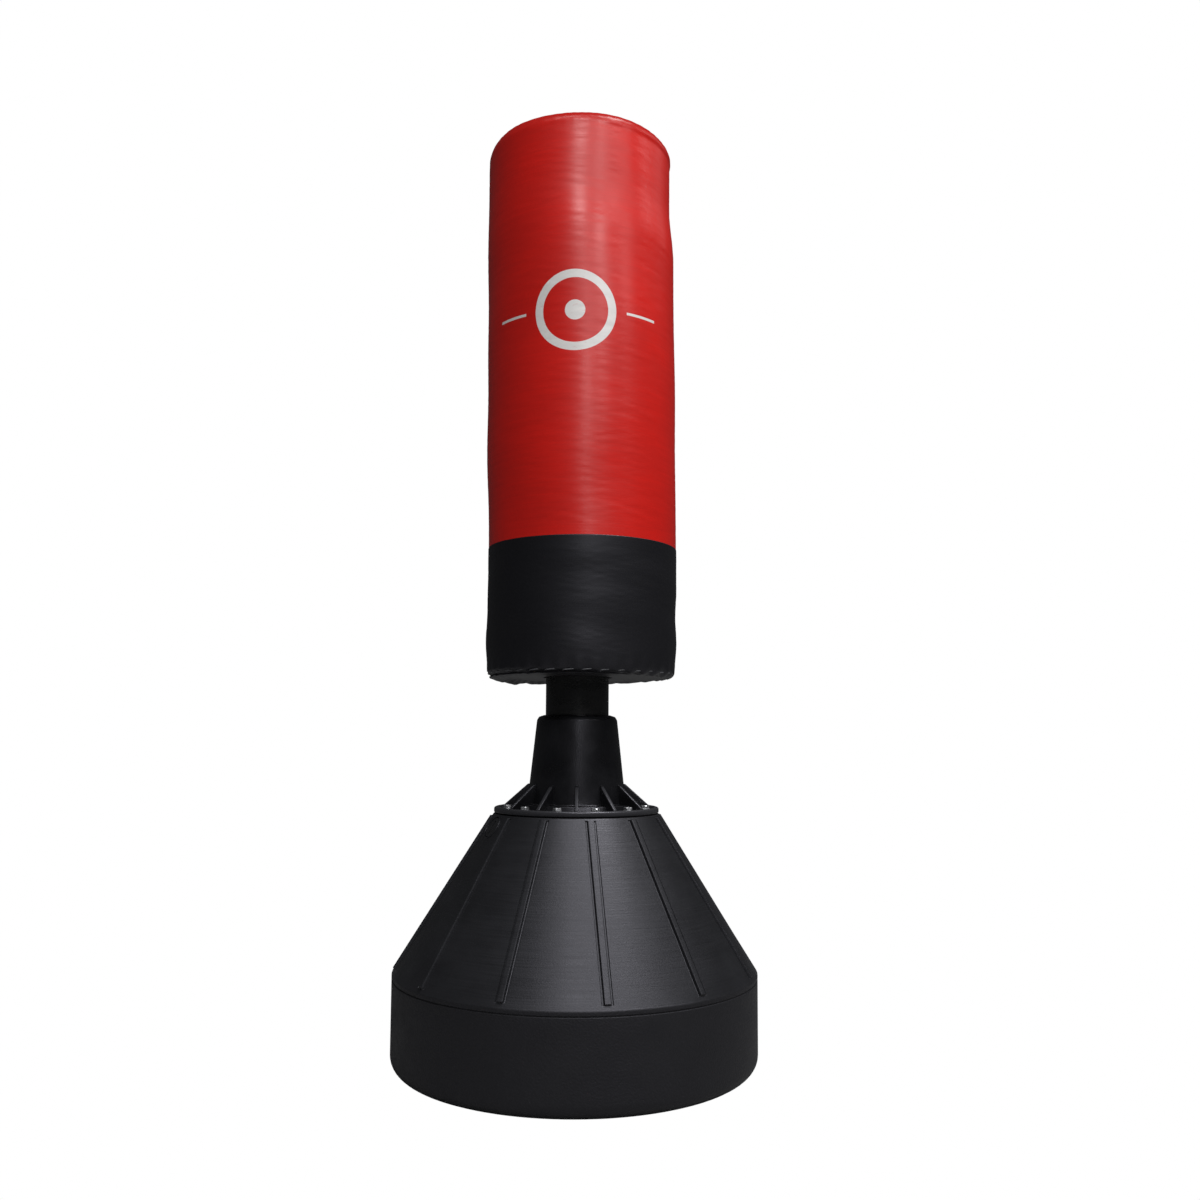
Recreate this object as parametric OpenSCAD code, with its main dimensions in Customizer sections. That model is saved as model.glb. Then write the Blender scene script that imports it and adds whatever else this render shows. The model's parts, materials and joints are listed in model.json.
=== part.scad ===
// Free-standing punching bag: a hollow fillable tank, a ribbed collar bolted on its deck, a coil
// spring under a rubber sleeve, a steel post, and a padded two-colour bag that turns on the post.
// Millimetres. The origin is the middle of the tank's floor face, +Z is up and the front faces -Y.

/* [Bag] */
// Outer radius of the padded bag
bag_r = 166; // [156:1:176]
// Height of the bag's underside above the floor
bag_bottom_z = 655; // [650:1:665]
// Height of the seam between the black lower cover and the red upper cover
cover_seam_z = 880; // [820:1:960]
// Height of the top of the bag
bag_top_z = 1609; // [1600:1:1640]
// Rounding of the bag's top edge
bag_top_round = 28; // [18:1:36]
// Rounding of the bag's bottom edge
bag_foot_round = 10; // [8:1:12]
// Thickness of the cover leather
cover_t = 2; // [1.5:0.1:2.5]
// Radius of the hole in the bag's underside that the sleeve passes through
bag_hole_r = 60; // [58:1:64]
// Radius where the wound wadding ends and the foam wrap begins
wadding_r = 105; // [90:1:120]
// Number of whip stitches round the bottom hem
stitch_count = 34; // [28:1:40]
// Length of one whip stitch
stitch_l = 21; // [16:1:24]

/* [Tank] */
// Radius of the tank's upright side
tank_r = 310; // [300:1:320]
// Wall thickness of the tank
tank_wall = 6; // [5:0.5:7]
// Rounding between the tank's floor and its side
tank_corner_r = 26; // [18:1:34]
// Height of the shoulder where the side meets the cone
shoulder_z = 157; // [154:1:165]
// Rounding of the shoulder
shoulder_round = 5; // [5:1:14]
// Height of the parting groove below the shoulder
parting_z = 148; // [138:1:149]
// Radius of the flat deck on top of the cone
deck_r = 143; // [143:1:152]
// Height of the deck above the floor
deck_z = 421; // [415:1:425]
// Radius of the mouth in the deck
mouth_r = 78; // [78:1:80]
// Number of raised ribs on the cone
rib_count = 12; // [8:2:12]
// Width of a cone rib
rib_w = 13; // [9:0.5:16]
// Height of a cone rib above the cone
rib_h = 3.5; // [2.5:0.5:5]
// Angle of the first cone rib, from the front towards the right
rib_turn = 9; // [8:1:12]

/* [Filler] */
// Angle of the filler cap, from the front towards the right
filler_turn = -65; // [-67:1:-63]
// Height of the filler cap's middle
filler_z = 401; // [396:1:401]
// Radius of the recess that the cap sits in
recess_r = 19.5; // [19:0.5:21]
// Radius of the filler bush's bore
filler_bore_r = 12; // [11:0.5:12.5]
// Thread pitch of the filler cap
filler_pitch = 3; // [2:0.5:4]

/* [Collar] */
// Radius of the collar's flange
flange_r = 142.5; // [141:0.5:144]
// Thickness of the flange
flange_t = 8; // [7:0.5:10]
// Height of the top of the collar's neck
neck_top_z = 590; // [585:1:595]
// Outer radius at the top of the neck
neck_top_r = 70; // [68:0.5:72]
// Outer radius at the foot of the neck
neck_foot_r = 85.5; // [82:0.5:88]
// Number of gussets and of collar bolts
gusset_count = 12; // [12:1:12]
// Thickness of a gusset
gusset_t = 6; // [4:0.5:8]
// Height of a gusset's top
gusset_top_z = 471; // [460:1:475]
// Radius of the circle that the collar bolts stand on
bolt_circle_r = 121; // [119:0.5:125]

/* [Spring] */
// Outer radius of the rubber sleeve
sleeve_r = 55; // [54:0.5:56]
// Wall of the rubber sleeve
sleeve_wall = 5; // [4:0.5:5]
// Radius of the coil, at the middle of the wire
coil_r = 36.5; // [36:0.5:37]
// Diameter of the spring wire
wire_d = 11; // [10:0.5:11]
// Height of the spring's seat in the collar
spring_bottom_z = 505; // [503:1:507]
// Height of the top of the spring
spring_top_z = 735; // [733:1:737]
// Number of turns of the spring
coil_turns = 19; // [17:1:19]

/* [Post] */
// Outer radius of the steel post
post_r = 30; // [28:0.5:30]
// Wall of the steel post
post_wall = 3; // [2:0.5:4]
// Height of the top of the post
post_top_z = 1500; // [1450:1:1500]
// Running clearance of the bag's bushes and of the filler cap's stem
run_gap = 0.05; // [0.03:0.01:0.08]

/* [Hidden] */
$fn = 96;
fit_gap = 0.05;         // radial gap of parts that are pressed or moulded in
arc_steps = 8;          // straight pieces in each rounded corner of a lathe profile
eps = 1;                // overshoot of a cut

// Cone of the tank
cone_rise = deck_z - shoulder_z;
cone_in = tank_r - deck_r;
cone_slant = atan2(cone_in, cone_rise);             // lean of the cone's wall from upright
cone_len = norm([cone_rise, cone_in]);
wall_across = tank_wall / cos(cone_slant);          // wall of the cone, measured level
parting_h = 3;
parting_d = 2;
rib_chamfer = 1;
rib_gap_top = 4;
rib_gap_foot = 8;
rib_sink = 3;

// M8 bolts, inserts and washers
bolt_r = 4;
bolt_hole_r = 4.4;
head_r = 7.5;
head_h = 5.3;
head_round_r = 7.1;
washer_r = 8.8;
washer_t = 1.6;
insert_r = 7;
insert_l = 20;
insert_boss_r = 11;
insert_boss_floor = 2;

// Filler, along the axis that stands square on the cone, with 0 at the cone's face
recess_depth = 6;
filler_boss_r = recess_r + 3.5;
filler_bush_r = recess_r - 3.5;
filler_bush_l = 16;
seal_t = 2;
seal_gap = 0.3;         // between the seal and the cap's head, so that the cap turns free of it
cap_head_r = recess_r - 1.5;
cap_head_t = 3.4;
cap_stem_l = 14;
cap_stem_wall = 2.5;
grip_w = 5;
grip_depth = 2;
cap_notches = 16;
notch_r = 1.2;

// Collar
spigot_l = 12;
spigot_r = mouth_r - 0.5;
well_r = 72;
shelf_t = 14;
shelf_bore_r = 46;
step_r = 104;
step_h = 8;
bead_h = 3;
bead_w = 8.5;
neck_round = 11;
gasket_in_r = 86;
gasket_out_r = 98;
gasket_t = 2.5;
gusset_foot_r = flange_r - 15;
gusset_foot_h = 4;
gusset_head_w = 2.5;
flange_top = deck_z + flange_t;

// Spring mounts
plug_flange_t = 8;
plug_boss_r = coil_r - wire_d / 2 - 0.3;
plug_boss_l = 36;
plug_bore_r = 10;
plate_t = 10;
plate_r = well_r - 0.5;
plate_bolts = 6;
plate_bolt_circle_r = 62;
plug_bolts = 4;
plug_bolt_circle_r = 20;
shelf_z = spring_bottom_z - plug_flange_t;
plate_z = shelf_z - plate_t;
upper_flange_t = 12;
post_flange_z = spring_top_z + upper_flange_t;
post_flange_t = 8;
post_flange_r = sleeve_r - sleeve_wall - 1;
post_bolt_circle_r = 39;
coil_sides = 8;
coil_steps = 24;        // rings in each turn
band_t = 1.4;
band_w = 10;
band_box = [14, 5, 9];

// Core of the bag
post_plug_t = 10;
post_plug_stem = 20;
thrust_t = 3;
thrust_bore_r = 10;
core_wall = 5;
core_in_r = post_r + 10;
core_out_r = core_in_r + core_wall;
core_bottom_z = post_flange_z + post_flange_t + 18;   // clears the heads of the post's bolts
core_top_z = post_top_z + 30;
core_cap_t = 6;
bush_l = 32;
bush_rim = 5;
top_bush_drop = 60;
well_top_z = core_bottom_z - bush_rim - 2;
bag_well_r = 68;
board_t = 10;
board_gap = 0.3;
soft_gap = 0.3;
cover_in_r = bag_r - cover_t;
hem_in_r = bag_r - bag_foot_round - 6;
filling_z = bag_bottom_z + cover_t + board_gap + board_t + board_gap;
stitch_r = 0.9;
stitch_drop = 6;        // height of the stitches above the bag's underside

// ---- helpers ----

function unit(v) = v / norm(v);

// Arc of radius r that rounds the corner at b between the lines to a and c.
function corner(a, b, c, r) =
    let (
        u = unit(a - b),
        v = unit(c - b),
        half = acos(u * v) / 2,
        middle = b + unit(u + v) * r / sin(half),
        from = b + u * r / tan(half) - middle,
        to = b + v * r / tan(half) - middle,
        start = atan2(from.y, from.x),
        turn = atan2(to.y, to.x) - start,
        sweep = turn > 180 ? turn - 360 : turn < -180 ? turn + 360 : turn
    )
    [for (i = [0 : arc_steps]) middle + r * [
        cos(start + sweep * i / arc_steps),
        sin(start + sweep * i / arc_steps)
    ]];

// Outline through [x, y] points, with an arc at each point that has a third value, its radius.
function rounded(points) =
    let (last = len(points) - 1)
    [for (i = [0 : last])
        let (p = points[i], a = points[i == 0 ? last : i - 1], c = points[i == last ? 0 : i + 1])
        for (q = len(p) < 3 ? [p] : corner([a.x, a.y], [p.x, p.y], [c.x, c.y], p.z)) q];

module lathe(points) {
    rotate_extrude() polygon(rounded(points));
}

// Plain ring between two heights.
module ring(outer, inner, z0, z1) {
    lathe([[inner, z0], [outer, z0], [outer, z1], [inner, z1]]);
}

// Copies round the Z axis; angles run from the front (-Y) towards the right (+X).
module around(count, first) {
    for (i = [0 : count - 1]) rotate([0, 0, first + i * 360 / count - 90]) children();
}

module disc_at(r, h, x, z) {
    translate([x, 0, z]) cylinder(r = r, h = h);
}

// Hex bolt that stands on z = 0, with its shank below. The head's corners are rounded off.
module bolt(shank) {
    intersection() {
        cylinder(r = head_r, h = head_h, $fn = 6);
        cylinder(r1 = head_r + 2.5, r2 = head_round_r - 0.6, h = head_h);
    }
    translate([0, 0, -shank]) cylinder(r = bolt_r, h = shank + eps);
}

// Radius of the cone's outer face at a height.
function cone_r(z) = deck_r + (deck_z - z) * cone_in / cone_rise;

// Puts children on the filler's axis: their +Z points square out of the cone.
module on_filler() {
    rotate([0, 0, filler_turn - 90])
        translate([cone_r(filler_z), 0, filler_z])
        rotate([0, 90 - cone_slant, 0])
        children();
}

// ---- tank ----

module tank_shell() {
    lathe([
        [0, 0],
        [tank_r, 0, tank_corner_r],
        [tank_r, parting_z],
        [tank_r - parting_d, parting_z + parting_h / 2],
        [tank_r, parting_z + parting_h],
        [tank_r, shoulder_z, shoulder_round],
        [deck_r, deck_z, 3],
        [mouth_r, deck_z],
        [mouth_r, deck_z - tank_wall],
        [cone_r(deck_z - tank_wall) - wall_across, deck_z - tank_wall, 3],
        [tank_r - tank_wall, deck_z - (tank_r - tank_wall + wall_across - deck_r) * cone_rise / cone_in, 6],
        [tank_r - tank_wall, tank_wall, tank_corner_r - tank_wall],
        [0, tank_wall]
    ]);
}

// One raised strip down the cone, with chamfered edges.
module cone_rib() {
    translate([deck_r, 0, deck_z])
        rotate([0, 180 - cone_slant, 0])
        translate([0, 0, rib_gap_top])
        linear_extrude(cone_len - rib_gap_top - rib_gap_foot)
        polygon([
            [rib_sink, -rib_w / 2],
            [rib_sink, rib_w / 2],
            [rib_chamfer - rib_h, rib_w / 2],
            [-rib_h, rib_w / 2 - rib_chamfer],
            [-rib_h, rib_chamfer - rib_w / 2],
            [rib_chamfer - rib_h, -rib_w / 2]
        ]);
}

module insert_bosses() {
    top = deck_z - tank_wall / 2;
    bottom = deck_z - insert_l - insert_boss_floor;
    around(gusset_count, 180 / gusset_count)
        disc_at(insert_boss_r, top - bottom, bolt_circle_r, bottom);
}

module base_tank() {
    color("#2b2c30")
    difference() {
        union() {
            tank_shell();
            around(rib_count, rib_turn) cone_rib();
            insert_bosses();
            on_filler() translate([0, 0, -recess_depth - filler_bush_l])
                cylinder(r = filler_boss_r, h = recess_depth + filler_bush_l - 2);
        }
        around(gusset_count, 180 / gusset_count)
            disc_at(insert_r + fit_gap, insert_l + eps, bolt_circle_r, deck_z - insert_l);
        on_filler() translate([0, 0, -recess_depth]) cylinder(r = recess_r, h = recess_depth + 2 * eps);
        on_filler() translate([0, 0, -recess_depth - filler_bush_l - eps])
            cylinder(r = filler_bush_r + fit_gap, h = filler_bush_l + 2 * eps);
    }
}

module tank_inserts() {
    color("#b08d3c")
    around(gusset_count, 180 / gusset_count)
        difference() {
            disc_at(insert_r, insert_l - fit_gap, bolt_circle_r, deck_z - insert_l);
            disc_at(bolt_r + fit_gap, insert_l + eps, bolt_circle_r, deck_z - insert_l + 2);
        }
}

module mouth_gasket() {
    color("#161616")
    ring(gasket_out_r - 0.3, gasket_in_r + 0.3, deck_z, deck_z + gasket_t);
}

module filler_bush() {
    color("#202124")
    on_filler() translate([0, 0, -recess_depth - filler_bush_l])
        difference() {
            cylinder(r = filler_bush_r, h = filler_bush_l);
            translate([0, 0, -eps]) cylinder(r = filler_bore_r, h = filler_bush_l + 2 * eps);
        }
}

module cap_seal() {
    color("#101010")
    on_filler() translate([0, 0, -recess_depth])
        difference() {
            cylinder(r = filler_bush_r, h = seal_t);
            translate([0, 0, -eps]) cylinder(r = filler_bore_r + 0.5, h = seal_t + 2 * eps);
        }
}

// Screw cap: a notched head with a finger slot on a hollow stem that runs in the bush.
module filler_cap() {
    color("#1c1d1f")
    on_filler() translate([0, 0, seal_t + seal_gap - recess_depth])
        difference() {
            union() {
                cylinder(r = cap_head_r, h = cap_head_t);
                translate([0, 0, -cap_stem_l]) cylinder(r = filler_bore_r - run_gap, h = cap_stem_l + eps);
            }
            for (i = [0 : cap_notches - 1])
                rotate([0, 0, i * 360 / cap_notches])
                translate([cap_head_r + notch_r / 3, 0, -eps])
                cylinder(r = notch_r, h = cap_head_t + 2 * eps, $fn = 24);
            translate([-filler_bore_r, -grip_w / 2, cap_head_t - grip_depth])
                cube([2 * filler_bore_r, grip_w, grip_depth + eps]);
            translate([0, 0, -cap_stem_l - eps])
                cylinder(r = filler_bore_r - cap_stem_wall, h = cap_stem_l);
        }
}

// ---- collar ----

module collar_body() {
    lathe([
        [well_r, deck_z - spigot_l],
        [spigot_r, deck_z - spigot_l],
        [spigot_r, deck_z],
        [gasket_in_r, deck_z],
        [gasket_in_r, deck_z + gasket_t],
        [gasket_out_r, deck_z + gasket_t],
        [gasket_out_r, deck_z],
        [flange_r - 2, deck_z],
        [flange_r, deck_z + 2],
        [flange_r, flange_top + bead_h, 4],
        [flange_r - bead_w, flange_top + bead_h, 2.5],
        [flange_r - bead_w, flange_top],
        [step_r, flange_top],
        [step_r - 2, flange_top + step_h, 2],
        [neck_foot_r, flange_top + step_h, 3],
        [neck_top_r, neck_top_z, neck_round],
        [sleeve_r + 2, neck_top_z],
        [sleeve_r + 0.3, neck_top_z - 2],
        [sleeve_r + 0.3, shelf_z + shelf_t],
        [shelf_bore_r, shelf_z + shelf_t],
        [shelf_bore_r, shelf_z],
        [well_r, shelf_z]
    ]);
}

module gusset() {
    neck_r = neck_foot_r - (neck_foot_r - neck_top_r) * (gusset_top_z - flange_top - step_h)
        / (neck_top_z - flange_top - step_h);
    rotate([90, 0, 0])
        linear_extrude(gusset_t, center = true)
        polygon(rounded([
            [neck_r - 4, flange_top - 2],
            [gusset_foot_r, flange_top - 2],
            [gusset_foot_r, flange_top + gusset_foot_h, 3],
            [neck_r + gusset_head_w, gusset_top_z, 2],
            [neck_r - 4, gusset_top_z]
        ]));
}

module neck_collar() {
    color("#17171a")
    difference() {
        union() {
            collar_body();
            around(gusset_count, 0) gusset();
        }
        around(gusset_count, 180 / gusset_count)
            disc_at(bolt_hole_r, flange_t + 2 * eps, bolt_circle_r, deck_z - eps);
        around(plate_bolts, 0)
            disc_at(bolt_r + fit_gap, shelf_t - 2 + eps, plate_bolt_circle_r, shelf_z - eps);
    }
}

module collar_bolts() {
    color("#c9ccd0")
    around(gusset_count, 180 / gusset_count)
        translate([bolt_circle_r, 0, flange_top + washer_t]) bolt(26);
}

module bolt_washers() {
    color("#b9bcc0")
    around(gusset_count, 180 / gusset_count)
        difference() {
            disc_at(washer_r, washer_t, bolt_circle_r, flange_top);
            disc_at(bolt_hole_r, washer_t + 2 * eps, bolt_circle_r, flange_top - eps);
        }
}

// ---- spring and its mounts ----

module mount_plate() {
    color("#6d7076")
    difference() {
        ring(plate_r, plug_bore_r, plate_z, shelf_z);
        around(plate_bolts, 0)
            disc_at(bolt_hole_r, plate_t + 2 * eps, plate_bolt_circle_r, plate_z - eps);
        around(plug_bolts, 45)
            disc_at(bolt_hole_r, plate_t + 2 * eps, plug_bolt_circle_r, plate_z - eps);
    }
}

// Bolts that point up, with their heads under the plate.
module rising_bolts(count, first, circle_r, shank) {
    around(count, first) translate([circle_r, 0, plate_z]) mirror([0, 0, 1]) bolt(shank);
}

module mount_plate_bolts() {
    color("#c9ccd0")
    rising_bolts(plate_bolts, 0, plate_bolt_circle_r, 20);
}

module lower_plug_bolts() {
    color("#c9ccd0")
    rising_bolts(plug_bolts, 45, plug_bolt_circle_r, 30);
}

module lower_spring_plug() {
    color("#54565a")
    difference() {
        lathe([
            [plug_bore_r, shelf_z],
            [shelf_bore_r - 2, shelf_z],
            [shelf_bore_r - 2, spring_bottom_z],
            [plug_boss_r, spring_bottom_z],
            [plug_boss_r, spring_bottom_z + plug_boss_l, 3],
            [plug_bore_r, spring_bottom_z + plug_boss_l]
        ]);
        around(plug_bolts, 45)
            disc_at(bolt_r + fit_gap, 24, plug_bolt_circle_r, shelf_z - eps);
    }
}

// Closely wound helix. Each ring of the wire is a polygon in the plane through the coil's axis.
module coil_spring() {
    steps = coil_turns * coil_steps;
    rise = spring_top_z - spring_bottom_z - wire_d;
    points = [for (i = [0 : steps], k = [0 : coil_sides - 1])
        let (
            turn = 360 * i / coil_steps,
            side = 360 * k / coil_sides,
            r = coil_r + wire_d / 2 * cos(side)
        )
        [
            r * cos(turn),
            r * sin(turn),
            spring_bottom_z + wire_d / 2 * (1 + sin(side)) + rise * i / steps
        ]];
    wall = [for (i = [0 : steps - 1], k = [0 : coil_sides - 1])
        let (next = (k + 1) % coil_sides)
        [
            i * coil_sides + k,
            i * coil_sides + next,
            (i + 1) * coil_sides + next,
            (i + 1) * coil_sides + k
        ]];
    foot = [[for (k = [0 : coil_sides - 1]) coil_sides - 1 - k]];
    head = [[for (k = [0 : coil_sides - 1]) steps * coil_sides + k]];
    color("#8a8d92") polyhedron(points, concat(wall, foot, head), convexity = 10);
}

module spring_sleeve() {
    color("#131313")
    ring(sleeve_r, sleeve_r - sleeve_wall, shelf_z + shelf_t, post_flange_z);
}

module upper_spring_plug() {
    color("#54565a")
    difference() {
        lathe([
            [plug_bore_r, spring_top_z - plug_boss_l],
            [plug_boss_r, spring_top_z - plug_boss_l, 3],
            [plug_boss_r, spring_top_z],
            [sleeve_r - sleeve_wall - fit_gap, spring_top_z],
            [sleeve_r - sleeve_wall - fit_gap, post_flange_z],
            [plug_bore_r, post_flange_z]
        ]);
        around(plug_bolts, 45)
            disc_at(bolt_r + fit_gap, upper_flange_t, post_bolt_circle_r, spring_top_z + 2);
    }
}

// Worm-drive band that clamps the sleeve on the upper plug.
module sleeve_band() {
    band_z = spring_top_z + 1;
    color("#b9bcc0")
    union() {
        ring(sleeve_r + fit_gap + band_t, sleeve_r + fit_gap, band_z, band_z + band_w);
        rotate([0, 0, 90])
            translate([sleeve_r + fit_gap + band_t / 2, -band_box.x / 2, band_z + 0.5])
            cube([band_box.y, band_box.x, band_box.z]);
    }
}

// ---- post ----

module post_tube() {
    color("#3a3c40")
    difference() {
        lathe([
            [post_r - post_wall, post_flange_z],
            [post_flange_r, post_flange_z],
            [post_flange_r, post_flange_z + post_flange_t],
            [post_r + 1.5, post_flange_z + post_flange_t],
            [post_r, post_flange_z + post_flange_t + 1.5],
            [post_r, post_top_z],
            [post_r - post_wall, post_top_z]
        ]);
        around(plug_bolts, 45)
            disc_at(bolt_hole_r, post_flange_t + 2 * eps, post_bolt_circle_r, post_flange_z - eps);
    }
}

module upper_plug_bolts() {
    color("#c9ccd0")
    around(plug_bolts, 45)
        translate([post_bolt_circle_r, 0, post_flange_z + post_flange_t]) bolt(17);
}

module post_top_plug() {
    stem_r = post_r - post_wall - fit_gap;
    color("#202124")
    lathe([
        [0, post_top_z - post_plug_stem],
        [stem_r, post_top_z - post_plug_stem],
        [stem_r, post_top_z],
        [post_r, post_top_z],
        [post_r, post_top_z + post_plug_t, 2],
        [0, post_top_z + post_plug_t]
    ]);
}

module thrust_washer() {
    color("#d8d2c0")
    ring(post_r - 2, thrust_bore_r, post_top_z + post_plug_t, post_top_z + post_plug_t + thrust_t);
}

// ---- bag ----

module core_tube() {
    color("#8f9296")
    ring(core_out_r, core_in_r, core_bottom_z, core_top_z);
}

module lower_bush() {
    color("#d8d2c0")
    lathe([
        [post_r + run_gap, core_bottom_z - bush_rim],
        [core_out_r, core_bottom_z - bush_rim],
        [core_out_r, core_bottom_z],
        [core_in_r - fit_gap, core_bottom_z],
        [core_in_r - fit_gap, core_bottom_z + bush_l],
        [post_r + run_gap, core_bottom_z + bush_l]
    ]);
}

module upper_bush() {
    color("#d8d2c0")
    ring(core_in_r - fit_gap, post_r + run_gap, post_top_z - top_bush_drop, post_top_z - top_bush_drop + bush_l);
}

module core_end_cap() {
    thrust_z = post_top_z + post_plug_t + thrust_t + 0.3;
    color("#202124")
    lathe([
        [0, thrust_z],
        [core_in_r - fit_gap, thrust_z],
        [core_in_r - fit_gap, core_top_z],
        [core_out_r, core_top_z],
        [core_out_r, core_top_z + core_cap_t],
        [0, core_top_z + core_cap_t]
    ]);
}

module bottom_board() {
    board_z = bag_bottom_z + cover_t + board_gap;
    color("#b08a5a")
    ring(bag_r - bag_foot_round - 4, bag_hole_r + 1, board_z, board_z + board_t);
}

// Wound wadding, with a wide well at its foot for the spring's upper mount.
module wadding_core() {
    color("#c9c4b8")
    lathe([
        [bag_well_r, filling_z],
        [wadding_r, filling_z],
        [wadding_r, core_top_z + core_cap_t],
        [core_out_r + soft_gap, core_top_z + core_cap_t],
        [core_out_r + soft_gap, well_top_z],
        [bag_well_r, well_top_z]
    ]);
}

module foam_wrap() {
    color("#e2dccb")
    ring(cover_in_r - soft_gap, wadding_r + soft_gap, filling_z, core_top_z + core_cap_t);
}

module top_pad() {
    pad_z = core_top_z + core_cap_t + soft_gap;
    pad_top = bag_top_z - cover_t - soft_gap;
    color("#e2dccb")
    lathe([
        [0, pad_z],
        [cover_in_r - soft_gap, pad_z],
        [cover_in_r - soft_gap, pad_top, bag_top_round - cover_t],
        [0, pad_top]
    ]);
}

// Red side cover, which turns in over the rounded top edge.
module cover_upper() {
    turned_in_r = bag_r - bag_top_round;
    color("#b01c14")
    lathe([
        [cover_in_r, cover_seam_z],
        [bag_r, cover_seam_z],
        [bag_r, bag_top_z, bag_top_round - 1],
        [turned_in_r, bag_top_z],
        [turned_in_r, bag_top_z - cover_t],
        [cover_in_r, bag_top_z - cover_t, bag_top_round - cover_t - 1]
    ]);
}

// Black lower cover, which turns in under the rounded bottom edge.
module cover_lower() {
    color("#1b1b1d")
    lathe([
        [hem_in_r, bag_bottom_z],
        [bag_r, bag_bottom_z, bag_foot_round],
        [bag_r, cover_seam_z],
        [cover_in_r, cover_seam_z],
        [cover_in_r, bag_bottom_z + cover_t, bag_foot_round - cover_t],
        [hem_in_r, bag_bottom_z + cover_t]
    ]);
}

module cover_top() {
    color("#a81a13")
    translate([0, 0, bag_top_z - cover_t])
        cylinder(r = bag_r - bag_top_round - fit_gap, h = cover_t);
}

module cover_bottom() {
    color("#1b1b1d")
    ring(hem_in_r - fit_gap, bag_hole_r, bag_bottom_z, bag_bottom_z + cover_t);
}

// Whip stitches of the hem, just proud of the rounded bottom edge.
module bottom_lacing() {
    color("#b9b6ae")
    around(stitch_count, 180 / stitch_count)
        translate([bag_r + stitch_r, -stitch_l / 2, bag_bottom_z + stitch_drop])
        rotate([-90, 0, 0])
        cylinder(r = stitch_r, h = stitch_l, $fn = 16);
}

base_tank();
tank_inserts();
filler_bush();
mouth_gasket();
neck_collar();
collar_bolts();
bolt_washers();
mount_plate();
mount_plate_bolts();
lower_spring_plug();
lower_plug_bolts();
cap_seal();
filler_cap();
coil_spring();
spring_sleeve();
upper_spring_plug();
sleeve_band();
post_tube();
upper_plug_bolts();
post_top_plug();
thrust_washer();
core_tube();
lower_bush();
upper_bush();
core_end_cap();
bottom_board();
wadding_core();
foam_wrap();
top_pad();
cover_upper();
cover_lower();
cover_top();
cover_bottom();
bottom_lacing();
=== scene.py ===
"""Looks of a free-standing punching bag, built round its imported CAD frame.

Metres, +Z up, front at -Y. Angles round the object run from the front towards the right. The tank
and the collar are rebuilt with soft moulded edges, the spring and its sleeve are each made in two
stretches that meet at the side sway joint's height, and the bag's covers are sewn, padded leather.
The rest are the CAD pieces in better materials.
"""

import json
import math

import bmesh
import bpy
import numpy as np
from mathutils import Matrix, Vector


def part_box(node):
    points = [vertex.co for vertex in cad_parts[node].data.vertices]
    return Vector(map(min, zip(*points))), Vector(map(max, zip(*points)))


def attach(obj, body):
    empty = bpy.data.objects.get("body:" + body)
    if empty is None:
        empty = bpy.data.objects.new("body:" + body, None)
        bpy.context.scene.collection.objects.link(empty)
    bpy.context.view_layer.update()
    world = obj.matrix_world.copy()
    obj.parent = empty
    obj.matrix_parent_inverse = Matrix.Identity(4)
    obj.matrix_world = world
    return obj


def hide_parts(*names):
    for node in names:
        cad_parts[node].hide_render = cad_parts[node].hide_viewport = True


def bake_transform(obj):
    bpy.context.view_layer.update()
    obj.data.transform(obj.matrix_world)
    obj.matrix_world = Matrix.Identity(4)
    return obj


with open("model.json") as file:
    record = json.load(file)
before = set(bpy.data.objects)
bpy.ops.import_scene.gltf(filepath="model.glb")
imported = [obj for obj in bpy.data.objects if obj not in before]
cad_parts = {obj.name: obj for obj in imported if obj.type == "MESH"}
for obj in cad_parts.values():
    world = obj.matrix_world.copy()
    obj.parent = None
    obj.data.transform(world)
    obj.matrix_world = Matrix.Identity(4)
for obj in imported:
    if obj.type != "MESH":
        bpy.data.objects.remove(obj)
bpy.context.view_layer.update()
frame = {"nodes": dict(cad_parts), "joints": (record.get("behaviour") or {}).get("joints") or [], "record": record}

MM = 0.001

# Measures that come from the frame
_, tank_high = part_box("base_tank")
_, collar_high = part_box("neck_collar")
upper_low, upper_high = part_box("cover_upper")
lower_low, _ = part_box("cover_lower")
sleeve_low, sleeve_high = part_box("spring_sleeve")
coil_low, coil_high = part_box("coil_spring")
_, board_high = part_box("bottom_board")
core_low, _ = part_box("core_tube")

TANK_R = tank_high.x
DECK_Z = tank_high.z
NECK_TOP_Z = collar_high.z
FLANGE_R = collar_high.x
BAG_R = upper_high.x
BAG_TOP_Z = upper_high.z
SEAM_Z = upper_low.z
BAG_FOOT_Z = lower_low.z
SLEEVE_R = sleeve_high.x
SWAY_Z = next(j for j in frame["joints"] if j["name"] == "sway_side")["pos_m"][2]

# Tank
DECK_R = 143 * MM
TANK_WALL = 6 * MM
TANK_CORNER = 26 * MM
SHOULDER_Z = 157 * MM
PARTING_Z = 148 * MM
PARTING_GROOVE = 2 * MM
MOUTH_R = 78 * MM
RIB_COUNT = 12
RIB_W = 13 * MM
RIB_H = 3.5 * MM
RIB_GROOVE = 1.8 * MM
RIB_TURN = math.radians(9)
RIB_END = 1.6 * MM
RIB_TOP_GAP = 4 * MM
RIB_FOOT_GAP = 8 * MM
CONE_LEAN = math.atan2(TANK_R - DECK_R, DECK_Z - SHOULDER_Z)
CONE_LENGTH = math.hypot(TANK_R - DECK_R, DECK_Z - SHOULDER_Z)

# Filler, square on the cone
FILLER_TURN = math.radians(-65)
FILLER_Z = 401 * MM
RECESS_R = 19.5 * MM
RECESS_DEPTH = 6 * MM
BUSH_R = 16 * MM

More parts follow.
